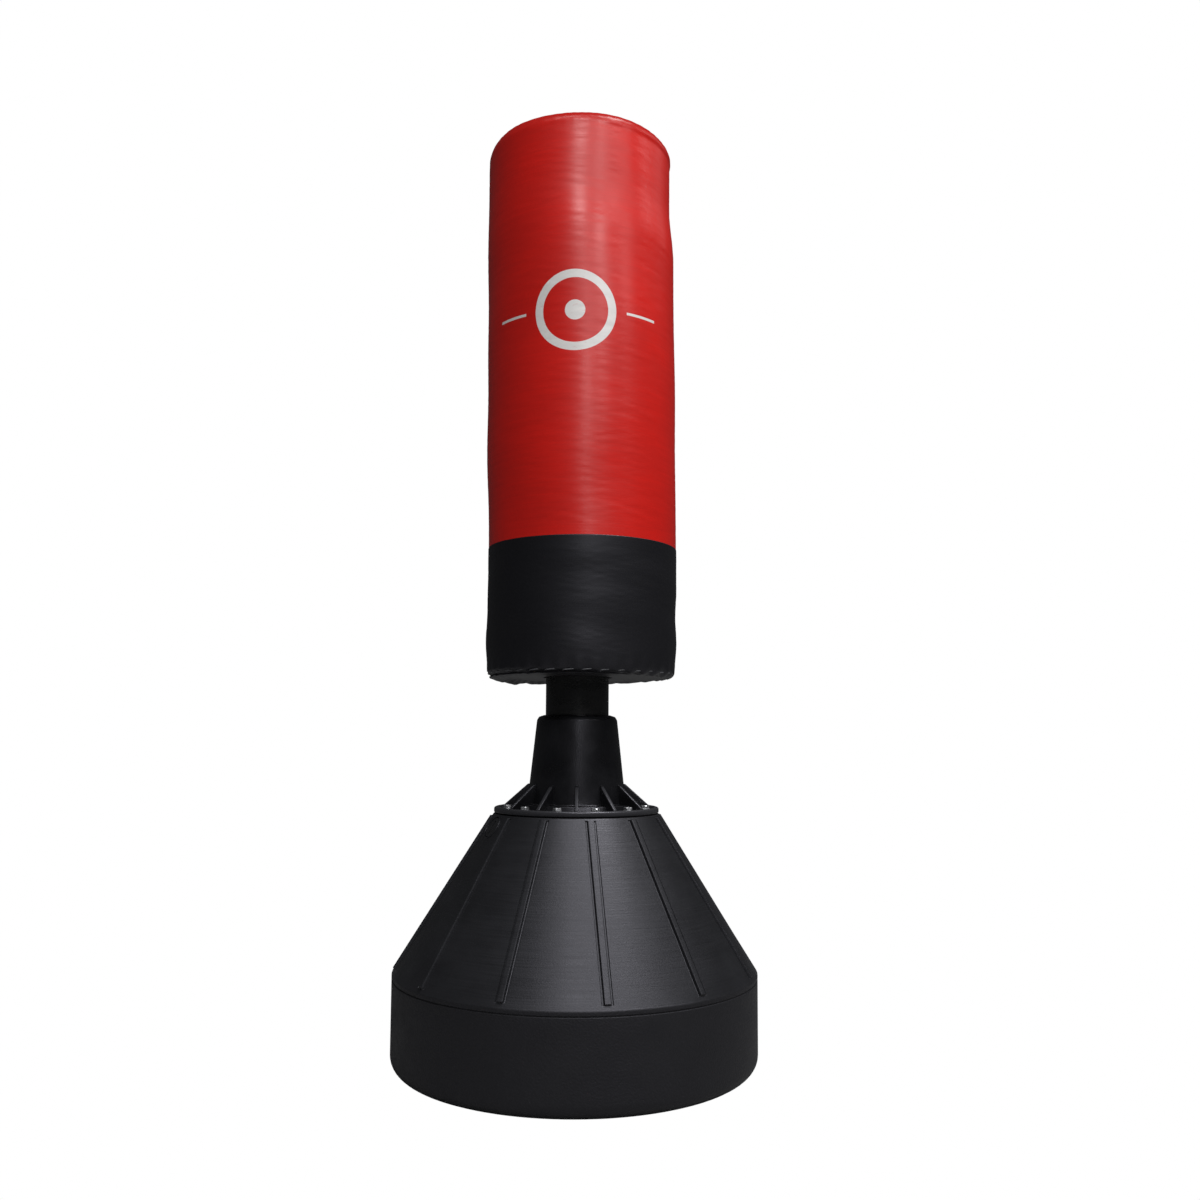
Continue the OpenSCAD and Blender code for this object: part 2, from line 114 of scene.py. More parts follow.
# Collar
FLANGE_TOP_Z = DECK_Z + 8 * MM
GUSSET_COUNT = 12
GUSSET_T = 6 * MM
GUSSET_TOP_Z = 471 * MM
NECK_FOOT_R = 85.5 * MM
NECK_TOP_R = 70 * MM
STEP_R = 104 * MM
STEP_H = 8 * MM

# Spring
COIL_TURNS = 19
WIRE_R = 5.5 * MM
SLEEVE_WALL = 5 * MM

# Bag
COVER_T = 2 * MM
TOP_ROUND = 28 * MM
FOOT_ROUND = 10 * MM
HEM_R = 150 * MM
HOLE_R = 60 * MM
CORE_R = 45 * MM
WADDING_R = 105 * MM
WELL_R = 68 * MM
SEAM_GROOVE = (4 * MM, 1.6 * MM)  # width and depth
STITCH_COUNT = 34
HEM_STITCH_Z = 6 * MM

# Printed target
TARGET_TURN = math.radians(-3)
TARGET_Z = 1.255
RING_R = 62 * MM
RING_W = 14 * MM
DOT_R = 17 * MM
RULE_AWAY = 118 * MM
RULE_LENGTH = 60 * MM
RULE_W = 4.4 * MM

# Stage, in metres
FLOOR_R = 7.5
SURROUND_R = 7.4
LIGHT_AWAY = 5.0
LIGHT_AIM = Vector((0, 0, 0.9))


# ---- meshes ----


def turned(angle):
    """Unit vector in plan at an angle from the front towards the right, as x and y."""
    return np.stack([np.sin(angle), -np.cos(angle)], axis=-1)


def ease(x):
    """Smooth step from 0 to 1 while x goes from 0 to 1."""
    x = np.clip(x, 0, 1)
    return x * x * (3 - 2 * x)


def rounded(points, steps=10):
    """Outline through (r, z) points, with an arc at each point that has a radius as third value."""
    outline = []
    for i, p in enumerate(points):
        here = np.array(p[:2], float)
        if len(p) < 3:
            outline.append(here)
            continue
        before = np.array(points[i - 1][:2], float) - here
        after = np.array(points[(i + 1) % len(points)][:2], float) - here
        before /= np.linalg.norm(before)
        after /= np.linalg.norm(after)
        half = math.acos(np.clip(before @ after, -1, 1)) / 2
        inward = (before + after) / np.linalg.norm(before + after)
        middle = here + inward * p[2] / math.sin(half)
        first = here + before * p[2] / math.tan(half) - middle
        last = here + after * p[2] / math.tan(half) - middle
        start = math.atan2(first[1], first[0])
        sweep = (math.atan2(last[1], last[0]) - start + math.pi) % (2 * math.pi) - math.pi
        for k in range(steps + 1):
            a = start + sweep * k / steps
            outline.append(middle + p[2] * np.array([math.cos(a), math.sin(a)]))
    return np.array(outline)


def spaced(outline, step):
    """The same outline with more points, so that none are further apart than step."""
    out = [outline[0]]
    for a, b in zip(outline[:-1], outline[1:]):
        count = max(1, math.ceil(np.linalg.norm(b - a) / step))
        out.extend(a + (b - a) * k / count for k in range(1, count + 1))
    return np.array(out)


def add_object(name, data):
    """New object with that data, in the scene."""
    obj = bpy.data.objects.new(name, data)
    bpy.context.scene.collection.objects.link(obj)
    return obj


def bmesh_object(name, bm):
    """New object with the mesh of a bmesh, which is freed."""
    mesh = bpy.data.meshes.new(name)
    bm.to_mesh(mesh)
    bm.free()
    return add_object(name, mesh)


def mesh_object(name, verts, faces, sharp=38):
    """Clean, closed mesh with smooth shading, except over edges sharper than that many degrees."""
    mesh = bpy.data.meshes.new(name)
    mesh.from_pydata([tuple(v) for v in verts], [], [tuple(int(i) for i in f) for f in faces])
    bm = bmesh.new()
    bm.from_mesh(mesh)
    tidy_bmesh(bm, sharp)
    bm.to_mesh(mesh)
    bm.free()
    return add_object(name, mesh)


def tidy_bmesh(bm, sharp=38):
    """Merges doubles, turns the normals outwards and marks the sharp edges."""
    bmesh.ops.remove_doubles(bm, verts=bm.verts, dist=1e-6)
    bmesh.ops.recalc_face_normals(bm, faces=bm.faces)
    limit = math.radians(sharp)
    for f in bm.faces:
        f.smooth = True
    for e in bm.edges:
        e.smooth = len(e.link_faces) == 2 and e.calc_face_angle(0) < limit


def grid_faces(rows, columns, closed):
    """Quads of a grid whose columns go all the way round, and whose rows do too if it is closed."""
    i = np.arange(rows if closed else rows - 1)[:, None]
    j = np.arange(columns)[None, :]
    k, m = (i + 1) % rows, (j + 1) % columns
    quads = [i * columns + j, i * columns + m, k * columns + m, k * columns + j]
    return np.stack(np.broadcast_arrays(*quads), axis=-1).reshape(-1, 4)


def lathe(name, outline, columns, closed=True, sharp=38):
    """Outline of (r, z) points turned round the Z axis."""
    angle = np.linspace(0, 2 * math.pi, columns, endpoint=False)
    plan = turned(angle)[None, :, :] * outline[:, 0][:, None, None]
    height = np.broadcast_to(outline[:, 1][:, None, None], plan.shape[:2] + (1,))
    verts = np.concatenate([plan, height], axis=-1).reshape(-1, 3)
    return mesh_object(name, verts, grid_faces(len(outline), columns, closed), sharp)


def join(name, objects):
    """One object with the meshes of several, in their place."""
    bm = bmesh.new()
    for o in objects:
        bm.from_mesh(o.data)
        bpy.data.objects.remove(o)
    return bmesh_object(name, bm)


def shown_mesh(obj):
    """New mesh with obj's shape as it shows, after its modifiers or its bevel."""
    bpy.context.view_layer.update()
    depsgraph = bpy.context.evaluated_depsgraph_get()
    return bpy.data.meshes.new_from_object(obj.evaluated_get(depsgraph))


def waves(angle, height, seed, turns, length, count):
    """Random ripple between about -1 and 1, periodic round the bag: seeded cosines whose number of
    waves round the bag and whose length up it lie in the given ranges."""
    rng = np.random.default_rng(seed)
    total = np.zeros(np.broadcast(angle, height).shape)
    for _ in range(count):
        round_bag = int(rng.integers(turns[0], turns[1] + 1))
        up_bag = 2 * math.pi / rng.uniform(*length) * rng.choice([-1, 1])
        total += np.cos(round_bag * angle + up_bag * height + rng.uniform(0, 2 * math.pi))
    return total / math.sqrt(count)


# ---- tank and collar ----


def cone_radius(z):
    """Radius of the tank's cone at a height."""
    return DECK_R + (DECK_Z - z) * math.tan(CONE_LEAN)


def filler_matrix():
    """Frame of the filler: +Z stands square out of the cone, 0 is at the cone's face."""
    x, y = turned(FILLER_TURN)
    level, radius = math.cos(CONE_LEAN), cone_radius(FILLER_Z)
    out = Vector((x * level, y * level, math.sin(CONE_LEAN)))
    foot = Vector((x * radius, y * radius, FILLER_Z))
    return Matrix.Translation(foot) @ out.to_track_quat("Z", "Y").to_matrix().to_4x4()


def tank_outlines():
    """Outer and inner outline of the tank's wall, from the floor's middle up to the mouth."""
    across = TANK_WALL / math.cos(CONE_LEAN)
    outer = rounded(
        [
            (0, 0),
            (TANK_R, 0, TANK_CORNER),
            (TANK_R, PARTING_Z, 0.8 * MM),
            (TANK_R - PARTING_GROOVE, PARTING_Z + 1.5 * MM, 0.5 * MM),
            (TANK_R, PARTING_Z + 3 * MM, 0.8 * MM),
            (TANK_R, SHOULDER_Z, 5 * MM),
            (DECK_R, DECK_Z, 3 * MM),
            (MOUTH_R, DECK_Z),
        ]
    )
    inner_r = TANK_R - TANK_WALL
    shoulder_in_z = DECK_Z - (inner_r + across - DECK_R) / math.tan(CONE_LEAN)
    inner = rounded(
        [
            (0, TANK_WALL),
            (inner_r, TANK_WALL, TANK_CORNER - TANK_WALL),
            (inner_r, shoulder_in_z, 6 * MM),
            (cone_radius(DECK_Z - TANK_WALL) - across, DECK_Z - TANK_WALL, 3 * MM),
            (MOUTH_R, DECK_Z - TANK_WALL),
        ],
        steps=5,
    )
    return outer, inner


def rib_columns(radius):
    """Angles of the grid's columns at a radius, and each column's offset from the nearest rib's
    middle line. The columns at a rib keep its width. Those between two ribs share out what is left,
    and count as far from both."""
    share = [0, 0.35, 0.6, 0.68, 0.76, 0.82, 0.86, 0.95, 1.1, 1.25, 1.33, 1.4, 1.46, 1.7]
    beside = np.array(share) * RIB_W / 2
    beside = np.concatenate([-beside[:0:-1], beside])
    between, far = 7, 1.0
    sector = 2 * math.pi / RIB_COUNT
    reach = beside[-1] / radius
    angles, offsets = [], []
    for k in range(RIB_COUNT):
        middle = RIB_TURN + k * sector
        angles.extend(middle + beside / radius)
        offsets.extend(beside)
        angles.extend(np.linspace(middle + reach, middle + sector - reach, between + 2)[1:-1])
        offsets.extend([far] * between)
    return np.array(angles), np.array(offsets)


def rib_height(offset, down):
    """Height of the ribs above the cone, at an offset from a rib's middle line and a way down it.
    Along both its edges a rib has a shallow groove, which the mould leaves."""
    share = np.abs(offset) / (RIB_W / 2)
    rise = np.interp(share, [0.6, 0.68, 0.76, 0.82, 0.86], [1, 0.96, 0.6, 0.15, 0])
    dip = np.interp(share, [0.8, 0.86, 0.95, 1.25, 1.33, 1.4], [0, 0.8, 1, 1, 0.7, 0])
    head = ease((down - RIB_TOP_GAP) / RIB_END)
    foot = ease((CONE_LENGTH - RIB_FOOT_GAP - down) / RIB_END)
    return RIB_H * (rise - RIB_GROOVE / RIB_H * dip) * (head * foot)


def make_tank():
    """Hollow tank with its ribs, and the cup of the filler recess. The grid that makes the tank has
    extra rows at the ribs' ends."""
    outer, inner = tank_outlines()
    outer = spaced(outer, 14 * MM)
    steps = np.array([-1.6, -0.6, 0.0, 0.4, 0.8, 1.2, 1.6, 2.4]) * MM
    down = np.concatenate([RIB_TOP_GAP + steps, CONE_LENGTH - RIB_FOOT_GAP - steps])
    end_rows = np.stack(
        [DECK_R + down * math.sin(CONE_LEAN), DECK_Z - down * math.cos(CONE_LEAN)], axis=-1
    )
    cone = (outer[:, 0] > DECK_R) & (outer[:, 1] > SHOULDER_Z + 8 * MM)
    first, last = np.flatnonzero(cone)[[0, -1]]
    rows = np.concatenate([outer[first : last + 1], end_rows])
    rows = rows[np.argsort(rows[:, 1])]
    outer = np.concatenate([outer[:first], rows, outer[last + 1 :]])
    outline = np.concatenate([outer, inner[::-1]])

    rings = []
    for i, (r, z) in enumerate(outline):
        angle, offset = rib_columns(max(r, DECK_R * 0.9))
        lift = np.zeros(len(angle))
        if i < len(outer) and r > DECK_R - 1 * MM and z > SHOULDER_Z - 5 * MM:
            lift = rib_height(offset, (DECK_Z - z) / math.cos(CONE_LEAN))
        plan = turned(angle) * (r + lift * math.cos(CONE_LEAN))[:, None]
        height = z + lift * math.sin(CONE_LEAN)
        rings.append(np.concatenate([plan, height[:, None]], axis=-1))
    verts = np.array(rings).reshape(-1, 3)
    tank = mesh_object("tank_shell", verts, grid_faces(len(outline), len(rings[0]), False))
    cut_recess(tank)
    return join("tank_shell_moulded", [tank, make_recess_cup()])


def cut_recess(tank):
    """Cuts the filler's recess through the tank's wall."""
    hole_r, depth = RECESS_R + 1.2 * MM, 50 * MM
    bm = bmesh.new()
    bmesh.ops.create_cone(
        bm, cap_ends=True, segments=72, radius1=hole_r, radius2=hole_r, depth=depth
    )
    bmesh.ops.transform(bm, matrix=filler_matrix(), verts=bm.verts)
    cutter = bmesh_object("cutter", bm)
    cut = tank.modifiers.new("recess", "BOOLEAN")
    cut.operation = "DIFFERENCE"
    cut.solver = "EXACT"
    cut.object = cutter
    mesh = shown_mesh(tank)
    tank.modifiers.clear()
    tank.data = mesh
    bpy.data.objects.remove(cutter)


def make_recess_cup():
    """Moulded cup of the filler recess, with a rounded lip just proud of the cone."""
    bore_r, lip_r = BUSH_R + 0.05 * MM, RECESS_R + 2.4 * MM
    lip_z, foot_z = 0.9 * MM, -RECESS_DEPTH - 14 * MM
    outline = rounded(
        [
            (bore_r, -RECESS_DEPTH),
            (RECESS_R, -RECESS_DEPTH, 1.2 * MM),
            (RECESS_R, lip_z, 0.8 * MM),
            (lip_r, lip_z, 0.8 * MM),
            (lip_r, -TANK_WALL - 2 * MM),
            (lip_r, foot_z, 2 * MM),
            (bore_r, foot_z),
        ],
        steps=6,
    )
    cup = lathe("recess_cup", outline, columns=72)
    cup.data.transform(filler_matrix())
    return cup


def collar_outline():
    """Outline of the collar: its spigot in the tank's mouth, the flange with a bead round its edge,
    the step, the neck, and the shelf inside."""
    spigot_r, spigot_z, seat_z = MOUTH_R - 0.5 * MM, DECK_Z - 12 * MM, DECK_Z + 0.2 * MM
    bead_z, step_z = FLANGE_TOP_Z + 3 * MM, FLANGE_TOP_Z + STEP_H
    well_r, bore_r = 72 * MM, SLEEVE_R + 0.3 * MM
    shelf_r, shelf_z, shelf_top_z = 46 * MM, 497 * MM, 511 * MM
    return rounded(
        [
            (well_r, spigot_z),
            (spigot_r, spigot_z),
            (spigot_r, seat_z),
            (FLANGE_R - 3 * MM, seat_z, 0.6 * MM),
            (FLANGE_R, DECK_Z + 2.6 * MM, 1.4 * MM),
            (FLANGE_R, bead_z, 3.6 * MM),
            (FLANGE_R - 8.5 * MM, bead_z, 3 * MM),
            (FLANGE_R - 9.5 * MM, FLANGE_TOP_Z, 1.2 * MM),
            (STEP_R, FLANGE_TOP_Z, 1.5 * MM),
            (STEP_R - 2 * MM, step_z, 1.6 * MM),
            (NECK_FOOT_R, step_z, 3 * MM),
            (NECK_TOP_R, NECK_TOP_Z - 9 * MM, 2.5 * MM),
            (NECK_TOP_R - 3.5 * MM, NECK_TOP_Z - 3 * MM, 3 * MM),
            (SLEEVE_R + 2 * MM, NECK_TOP_Z, 1.5 * MM),
            (bore_r, NECK_TOP_Z - 2 * MM),
            (bore_r, shelf_top_z),
            (shelf_r, shelf_top_z),
            (shelf_r, shelf_z),
            (well_r, shelf_z),
        ],
        steps=6,
    )


def gusset_edge():
    """Foot and head of a gusset's slanting edge, as radius and height."""
    slope = (NECK_FOOT_R - NECK_TOP_R) / (NECK_TOP_Z - FLANGE_TOP_Z - STEP_H)
    neck_r = NECK_FOOT_R - slope * (GUSSET_TOP_Z - FLANGE_TOP_Z - STEP_H)
    return (FLANGE_R - 15 * MM, FLANGE_TOP_Z + 4 * MM), (neck_r + 2.5 * MM, GUSSET_TOP_Z)


def make_gusset(angle):
    """Upright web between the flange and the neck, with softened edges."""
    foot, head = gusset_edge()
    root_r, root_z = head[0] - 6.5 * MM, FLANGE_TOP_Z - 2 * MM
    outline = rounded(
        [
            (root_r, root_z),
            (foot[0], root_z),
            (*foot, 3 * MM),
            (*head, 2.5 * MM),
            (root_r, GUSSET_TOP_Z),
        ],
        steps=5,
    )
    bm = bmesh.new()
    face = bm.faces.new([bm.verts.new((r, -GUSSET_T / 2, z)) for r, z in outline])
    pushed = bmesh.ops.extrude_face_region(bm, geom=[face])
    moved = [v for v in pushed["geom"] if isinstance(v, bmesh.types.BMVert)]
    bmesh.ops.translate(bm, verts=moved, vec=(0, GUSSET_T, 0))
    bmesh.ops.recalc_face_normals(bm, faces=bm.faces)
    rims = [e for e in bm.edges if abs(e.verts[0].co.y - e.verts[1].co.y) < 1e-7]
    bmesh.ops.bevel(bm, geom=rims, offset=1.3 * MM, segments=3, profile=0.5, affect="EDGES")
    tidy_bmesh(bm)
    web = bmesh_object("gusset", bm)
    web.data.transform(Matrix.Rotation(angle - math.pi / 2, 4, "Z"))
    return web


def make_collar():
    """Collar with its webs round the neck."""
    body = lathe("collar_body", spaced(collar_outline(), 12 * MM), columns=180)
    webs = [make_gusset(2 * math.pi * k / GUSSET_COUNT) for k in range(GUSSET_COUNT)]
    return join("collar_moulded", [body, *webs])


# ---- spring ----


def make_coil(name, low, high):
    """One stretch of the closely wound spring, as a tube along its helix."""
    sides, steps = 12, 32
    rise = (coil_high.z - coil_low.z - 2 * WIRE_R) / COIL_TURNS
    foot = coil_low.z + WIRE_R
    first = (max(low, foot) - foot) / rise
    last = (min(high, coil_high.z - WIRE_R) - foot) / rise
    turn = np.linspace(first, last, int((last - first) * steps) + 1)[:, None]
    side = np.linspace(0, 2 * math.pi, sides, endpoint=False)[None, :]
    radius = coil_high.x - WIRE_R + WIRE_R * np.cos(side)
    height = foot + rise * turn + WIRE_R * np.sin(side)
    angle = 2 * math.pi * turn
    verts = np.stack([radius * np.cos(angle), radius * np.sin(angle), height], axis=-1)
    faces = [tuple(f) for f in grid_faces(len(turn), sides, False)]
    faces.append(tuple(range(sides)))
    faces.append(tuple(range((len(turn) - 1) * sides, len(turn) * sides)))
    return mesh_object(name, verts.reshape(-1, 3), faces)


def make_sleeve(name, low, high):
    """One stretch of the rubber sleeve."""
    inner_r = SLEEVE_R - SLEEVE_WALL
    corners = [(SLEEVE_R, low), (SLEEVE_R, high), (inner_r, high), (inner_r, low)]
    outline = spaced(np.array(corners + corners[:1]), 3 * MM)
    return lathe(name, outline[:-1], columns=120)


# ---- bag ----


def cover_object(name, outline, columns, shape):
    """Sewn cover as a closed shell: its outer face and, a leather's thickness inside, its lining.
    The outline runs up the bag's side, and shape(angle, line) gives how far each point is moved
    out. Beside the seam between the covers the points move level, so that the covers stay sewn
    together."""
    angle = np.linspace(0, 2 * math.pi, columns, endpoint=False)[None, :]
    lean = np.gradient(outline, axis=0)
    lean /= np.linalg.norm(lean, axis=1)[:, None]
    normal = np.stack([lean[:, 1], -lean[:, 0]], axis=-1)
    push = np.where(np.abs(outline[:, 1:] - SEAM_Z) < 5 * MM, (1.0, 0.0), normal)
    lift = shape(angle, outline)
    skins = []
    for inset in (0, COVER_T):
        radius = np.maximum(outline[:, :1] + push[:, :1] * lift - normal[:, :1] * inset, 0)
        height = outline[:, 1:] + push[:, 1:] * lift - normal[:, 1:] * inset
        plan = turned(np.broadcast_to(angle, radius.shape)) * radius[:, :, None]
        skins.append(np.concatenate([plan, height[:, :, None]], axis=-1))
    verts = np.concatenate([skins[0], skins[1][::-1]]).reshape(-1, 3)
    return mesh_object(name, verts, grid_faces(2 * len(outline), columns, True), sharp=60)


def groove(distance, width, depth):
    """Groove where two panels are sewn, by distance from the seam."""
    return -depth * np.exp(-((distance / width) ** 2))


def from_back(angle):
    """Distance round the bag from the middle of its back."""
    return np.abs(angle % (2 * math.pi) - math.pi) * BAG_R


def padding(angle, height):
    """How far the padding stands out under the covers: broad hollows, fullest in the middle, less
    of it at the top, where it has slipped most on the right, and more of it low on the right."""
    broad = waves(angle, height, 11, (1, 5), (0.12, 0.5), 10) * 0.6 * MM
    full = 1.4 * MM * ease((height - SEAM_Z) / 0.15)
    slipped = (3.6 + 3.6 * np.sin(angle)) * MM * ease((height - BAG_TOP_Z + 0.21) / 0.10)
    right = 7.5 * MM * np.sin(angle) * ease((BAG_TOP_Z - height) / 0.98)
    return broad + full - slipped + right


def drawn_in(angle, height):
    """How far the hem's lacing draws the foot of the cover in, most at the right."""
    return -(2.6 + 2.6 * np.sin(angle)) * MM * np.exp(-(height - BAG_FOOT_Z) / 0.026)


def swelled(obj, inner):
    """Moves obj out with the covers' padding: not at all at the inner radius, and in full at the
    bag's side."""
    co = np.array([v.co for v in obj.data.vertices])
    radius = np.hypot(co[:, 0], co[:, 1])
    angle = np.arctan2(co[:, 0], -co[:, 1])
    share = np.maximum(radius - inner, 0) / (BAG_R - inner)
    radius += (padding(angle, co[:, 2]) + drawn_in(angle, co[:, 2])) * share
    co = np.concatenate([turned(angle) * radius[:, None], co[:, 2:]], axis=1)
    obj.data.vertices.foreach_set("co", co.ravel())
    return obj


def creases(angle, height, seed):
    """Level creases of leather pulled round the padding, calm beside the seam."""
    long = waves(angle, height, seed, (2, 14), (0.014, 0.04), 40) * 0.07 * MM
    fine = waves(angle, height, seed + 1, (6, 40), (0.007, 0.015), 50) * 0.05 * MM
    return (long + fine) * ease(np.abs(height - SEAM_Z) / 0.03)


def gathers(angle, distance):
    """Short puckers beside a seam that turns a straight panel in over a round edge."""
    ripple = np.cos(52 * angle + 3 * np.sin(3 * angle) + 2 * np.sin(7 * angle))
    return ripple * 0.2 * MM * np.exp(-distance / 0.010)


def shoulder(angle, line):
    """How far the padding squares the rounded top edge out, most at the right."""
    across = np.maximum(line[:, :1] - BAG_R + TOP_ROUND, 0) / TOP_ROUND
    up = np.maximum(line[:, 1:] - BAG_TOP_Z + TOP_ROUND, 0) / TOP_ROUND
    return (2.5 + 3.0 * np.sin(angle)) * MM * np.minimum(2 * across * up, 1)


def make_cover_upper():
    """Red side panel with a seam down its back, sewn round the top edge and to the top panel."""
    rim_z = BAG_TOP_Z - TOP_ROUND * 0.42
    outline = rounded(
        [
            (BAG_R - 4 * MM, SEAM_Z - 3 * MM),
            (BAG_R - 0.8 * MM, SEAM_Z - 1 * MM, 1.5 * MM),
            (BAG_R - 0.8 * MM, BAG_TOP_Z - 0.6 * MM, TOP_ROUND),
            (BAG_R - TOP_ROUND - 1 * MM, BAG_TOP_Z - 0.6 * MM),
        ],
        steps=16,
    )
    outline = spaced(outline, 3.4 * MM)
    rim = np.argmin(np.abs(outline[:, 1] - rim_z))
    step = np.linalg.norm(np.diff(outline, axis=0), axis=1)
    along = np.concatenate([[0], np.cumsum(step)])[:, None]

    def shape(angle, line):
        height = line[:, 1:]
        to_rim, to_end = np.abs(along - along[rim]), along[-1] - along
        sewn = groove(to_rim, 2.2 * MM, 0.4 * MM) + groove(to_end, *SEAM_GROOVE)
        puckers = gathers(angle, to_rim) + gathers(angle, to_end)
        back = groove(from_back(angle), 3 * MM, 1.4 * MM)
        smooth = padding(angle, height) + shoulder(angle, line)
        return smooth + creases(angle, height, 21) + sewn + puckers + back

    return cover_object("red_side_cover", outline, 320, shape)


def make_cover_top():
    """Top panel: a padded disc, sewn in at its rim."""
    rim = BAG_R - TOP_ROUND - 1.3 * MM
    radii = np.concatenate([[rim + 7 * MM, rim + 3 * MM], np.linspace(rim, 5 * MM, 38), [0.0]])
    under = np.where(radii > rim - 0.1 * MM, (radii - rim) * 0.22 + 1.2 * MM, 0)
    outline = np.stack([radii, BAG_TOP_Z - 0.8 * MM - under], axis=-1)

    def shape(angle, line):
        r = line[:, :1]
        slack = waves(angle, r, 57, (0, 5), (0.05, 0.16), 12) * 0.5 * MM * np.minimum(1, r / 0.03)
        inside = ease((rim - r) / 0.006)
        sewn = groove(rim - r, *SEAM_GROOVE) * inside
        return sewn + gathers(angle, rim - r) * inside + slack * inside - 0.4 * MM

    return cover_object("red_top_cover", outline, 240, shape)


def make_cover_lower():
    """Black side panel, turned in under the bag's edge, where the hem's lacing tugs at it."""
    low = BAG_FOOT_Z
    outline = rounded(
        [
            (HEM_R, low + 0.4 * MM),
            (BAG_R - 0.2 * MM, low + 0.4 * MM, FOOT_ROUND),
            (BAG_R - 0.2 * MM, SEAM_Z + 0.3 * MM, 1.2 * MM),
            (BAG_R - 3 * MM, SEAM_Z + 0.3 * MM),
        ],
        steps=9,
    )
    outline = spaced(outline, 2.6 * MM)

    def shape(angle, line):
        radius, height = line[:, :1], line[:, 1:]
        above = height - low
        side = ease((radius - HEM_R) / (BAG_R - HEM_R - FOOT_ROUND))
        drawn = drawn_in(angle, height) * side
        pull = np.cos(STITCH_COUNT * (angle - math.pi / STITCH_COUNT))
        stitches = (0.5 + pull) * groove(above - HEM_STITCH_Z, 6 * MM, 0.9 * MM)
        tugs = pull * groove(above - HEM_STITCH_Z - 10 * MM, 10 * MM, 0.5 * MM)
        folds = waves(angle, height * 0, 23, (18, 60), (1, 2), 12) * 0.9 * MM
        folds *= np.exp(-above / 0.010)
        dents = waves(angle, height, 31, (2, 5), (0.07, 0.16), 10) * 0.7 * MM
        dents *= ease((SEAM_Z - height) / 0.05)
        back = groove(from_back(angle), 3 * MM, 1.2 * MM)
        loose = padding(angle, height) * ease((radius - HEM_R) / 0.008)
        return loose + creases(angle, height, 41) + drawn + stitches + tugs + folds + dents + back

    return cover_object("black_lower_cover", outline, 408, shape)


def make_cover_bottom():
    """Underside panel, gathered between the hem and the hole for the sleeve. It hangs loosest at
    the left, where it shows as a lumpy roll under the bag's edge."""
    radii = np.linspace(HOLE_R, HEM_R + 4 * MM, 44)
    outline = np.stack([radii, np.full(len(radii), BAG_FOOT_Z + 0.6 * MM)], axis=-1)

    def shape(angle, line):
        r = line[:, :1]
        out = ease((r - HOLE_R) / (HEM_R - HOLE_R))
        fan = waves(angle, r * 0, 71, (20, 46), (1, 2), 14) * 0.8 * MM * out
        left = ease((0.6 - np.sin(angle + 0.9)) / 1.6)
        roll = np.exp(-(((r - HEM_R + 9 * MM) / 0.011) ** 2))
        lumps = 1 + 0.35 * waves(angle, r * 8, 73, (7, 19), (0.3, 0.9), 12)
        slack = fan * (1 - 0.5 * roll) + 0.6 * MM * out
        return roll * (0.2 + 6.2 * left) * MM * lumps + slack * (0.3 + 0.7 * left)

    return cover_object("black_underside", outline, 320, shape)


def make_foam_wrap():
    """Foam sheet rolled round the wadding: its turns show at both ends, with notches between."""
    turns, notch = 5, 3 * MM
    inner, outer = WADDING_R + 0.3 * MM, BAG_R - COVER_T - 2.2 * MM
    low, high = board_high.z + 0.3 * MM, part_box("foam_wrap")[1].z
    pitch = (outer - inner) / turns
    outline = [(outer, low + notch), (outer, high - notch)]
    for k in range(turns):
        edge = outer - k * pitch
        outline += [(edge - pitch * 0.25, high), (edge - pitch * 0.75, high)]
        outline += [(edge - pitch, high - notch)]
    outline += [(inner, low + notch)]
    for k in range(turns):
        edge = inner + k * pitch
        outline += [(edge + pitch * 0.25, low), (edge + pitch * 0.75, low)]
        outline += [(edge + pitch, low + notch)]
    outline = spaced(np.array(outline[:-1] + outline[:1]), 25 * MM)[:-1]
    return swelled(lathe("foam_roll", outline, columns=180, sharp=80), inner)


def make_wadding():
    """Textile strips wound round the core in slanting laps, with the well for the spring at the
    foot."""
    low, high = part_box("wadding_core")
    bore_r, well_z, lap = CORE_R + 0.4 * MM, core_low.z - 7 * MM, 42 * MM
    outline = [
        (WADDING_R - 0.8 * MM - 3.2 * MM * ((z - low.z) / lap % 1) ** 1.4, z)
        for z in np.arange(low.z, high.z, lap / 8)
    ]
    outline += [(WADDING_R - 3 * MM, high.z), (bore_r, high.z), (bore_r, well_z)]
    outline += [(WELL_R, well_z), (WELL_R, low.z)]
    wadding = lathe("wadding_wound", spaced(np.array(outline), 12 * MM), columns=150, sharp=70)
    for v in wadding.data.vertices:
        angle = math.atan2(v.co.x, -v.co.y)
        if math.hypot(v.co.x, v.co.y) > WADDING_R - 6 * MM:
            squeeze = 1 - 0.012 * (1 + math.sin(3 * angle + 40 * v.co.z)) / 2
            v.co.x *= squeeze
            v.co.y *= squeeze
    return wadding


def make_top_pad():
    """Stack of foam discs over the core, with softened rims. The top one is rounded like the
    cover."""
    low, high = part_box("top_pad")
    discs, gap, soft = 3, 0.4 * MM, 4 * MM
    rim = BAG_R - COVER_T - 1.5 * MM
    height = (high.z - low.z) / discs
    made = []
    for k in range(discs):
        foot, head = low.z + k * height, low.z + (k + 1) * height - gap
        corner = (rim, head, soft)
        if k == discs - 1:
            corner = (rim, head - 0.6 * MM, TOP_ROUND - 5 * MM)
        outline = rounded([(0, foot), (rim, foot, soft), corner, (0, corner[1])], steps=8)
        outline = spaced(outline, 15 * MM)
        made.append(lathe("disc", outline, columns=144, closed=False, sharp=70))
    return swelled(join("top_pad_discs", made), 0)


